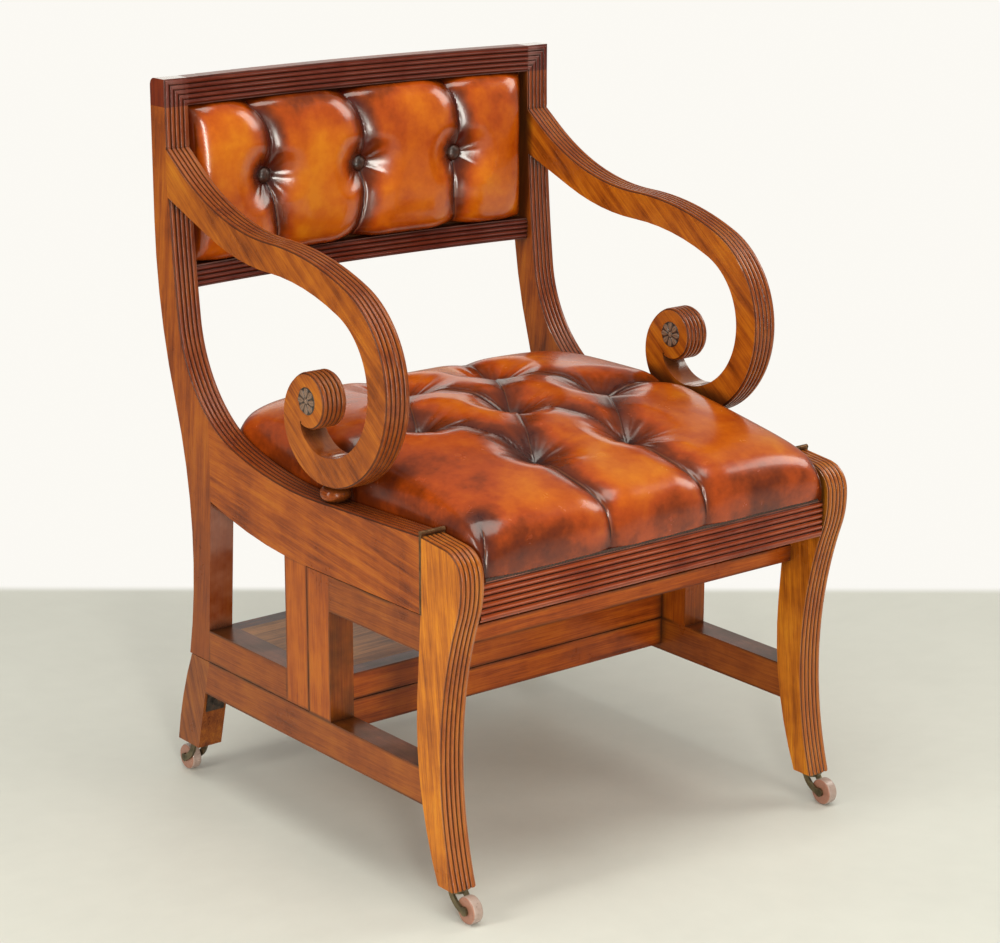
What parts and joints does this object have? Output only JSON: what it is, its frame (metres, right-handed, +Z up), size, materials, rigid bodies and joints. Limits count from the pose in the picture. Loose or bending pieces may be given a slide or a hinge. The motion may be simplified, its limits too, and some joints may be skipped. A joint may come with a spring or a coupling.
{
  "type": "metamorphic library chair",
  "caption": "Scroll-arm library armchair with a buttoned seat, on casters, whose hinged back half turns over to make a set of library steps.",
  "frame": {"origin": "on the floor under the middle of the chair's box", "axes": "+X across the chair, to the right as seen from the front; +Y from the front to the back; +Z up"},
  "size_m": [0.6036, 0.6483, 0.9],
  "materials": {
    "mahogany": "polished mahogany",
    "dark_wood": "dark polished mahogany",
    "light_wood": "worn mahogany",
    "hide": "hand-dyed glossy hide",
    "button": "dark covered buttons",
    "carving": "worn carved wood",
    "hinge_brass": "rubbed brass",
    "caster_brass": "dull brass",
    "roller": "turned hard roller",
    "iron": "dark iron"
  },
  "bodies": {
    "step_base": {"front_leg_left": "mahogany", "front_leg_right": "mahogany", "rear_foot_left": "dark_wood", "rear_foot_right": "dark_wood", "lower_rail_left": "mahogany", "lower_rail_right": "mahogany", "step_post_left": "mahogany", "step_post_right": "mahogany", "upper_rail_left": "mahogany", "upper_rail_right": "mahogany", "middle_stretcher": "dark_wood", "rear_stretcher": "dark_wood", "tread_front_rail": "dark_wood", "tread_back_rail": "dark_wood", "lower_tread": "light_wood", "middle_tread": "light_wood", "fixed_hinge_leaves": "hinge_brass", "hinge_pins": "hinge_brass", "caster_plates": "caster_brass", "foot_iron": "iron"},
    "swing_half": {"stile_left": "mahogany", "stile_right": "mahogany", "side_rail_left": "mahogany", "side_rail_right": "mahogany", "shelf_post_left": "mahogany", "shelf_post_right": "mahogany", "shelf_rail_left": "mahogany", "shelf_rail_right": "mahogany", "shelf_front_rail": "light_wood", "shelf_back_rail": "mahogany", "shelf_board": "light_wood", "top_tread": "light_wood", "front_seat_rail": "dark_wood", "back_seat_rail": "mahogany", "seat_bearers": "light_wood", "seat_tread": "light_wood", "seat_deck": "light_wood", "crest_rail": "dark_wood", "crest_corner_left": "dark_wood", "crest_corner_right": "dark_wood", "lower_back_rail": "dark_wood", "back_panel": "dark_wood", "arm_left": "mahogany", "arm_right": "mahogany", "arm_balls": "light_wood", "arm_rosettes": "carving", "moving_hinge_leaves": "hinge_brass", "seat_cushion": "hide", "back_pad": "hide", "back_buttons": "button"},
    "fork_front_left": {"caster_fork_front_left": "caster_brass"},
    "fork_front_right": {"caster_fork_front_right": "caster_brass"},
    "fork_rear_left": {"caster_fork_rear_left": "caster_brass"},
    "fork_rear_right": {"caster_fork_rear_right": "caster_brass"},
    "wheel_front_left": {"caster_wheel_front_left": "roller"},
    "wheel_front_right": {"caster_wheel_front_right": "roller"},
    "wheel_rear_left": {"caster_wheel_rear_left": "roller"},
    "wheel_rear_right": {"caster_wheel_rear_right": "roller"}
  },
  "joints": [
    {"name": "seat_flip", "type": "hinge", "parent": "step_base", "child": "swing_half", "pos_m": [0, -0.23913, 0.4505], "axis": [1, 0, 0], "range_deg": [0, 180]},
    {"name": "swivel_front_left", "type": "hinge", "parent": "step_base", "child": "fork_front_left", "pos_m": [-0.283, -0.28369, 0.0165], "axis": [0, 0, 1], "continuous": true},
    {"name": "roll_front_left", "type": "hinge", "parent": "fork_front_left", "child": "wheel_front_left", "pos_m": [-0.283, -0.30769, 0.0165], "axis": [1, 0, 0], "continuous": true},
    {"name": "swivel_front_right", "type": "hinge", "parent": "step_base", "child": "fork_front_right", "pos_m": [0.283, -0.28369, 0.0165], "axis": [0, 0, 1], "continuous": true},
    {"name": "roll_front_right", "type": "hinge", "parent": "fork_front_right", "child": "wheel_front_right", "pos_m": [0.283, -0.30769, 0.0165], "axis": [1, 0, 0], "continuous": true},
    {"name": "swivel_rear_left", "type": "hinge", "parent": "step_base", "child": "fork_rear_left", "pos_m": [-0.283, 0.26435, 0.0165], "axis": [0, 0, 1], "continuous": true},
    {"name": "roll_rear_left", "type": "hinge", "parent": "fork_rear_left", "child": "wheel_rear_left", "pos_m": [-0.283, 0.28835, 0.0165], "axis": [1, 0, 0], "continuous": true},
    {"name": "swivel_rear_right", "type": "hinge", "parent": "step_base", "child": "fork_rear_right", "pos_m": [0.283, 0.26435, 0.0165], "axis": [0, 0, 1], "continuous": true},
    {"name": "roll_rear_right", "type": "hinge", "parent": "fork_rear_right", "child": "wheel_rear_right", "pos_m": [0.283, 0.28835, 0.0165], "axis": [1, 0, 0], "continuous": true}
  ]
}
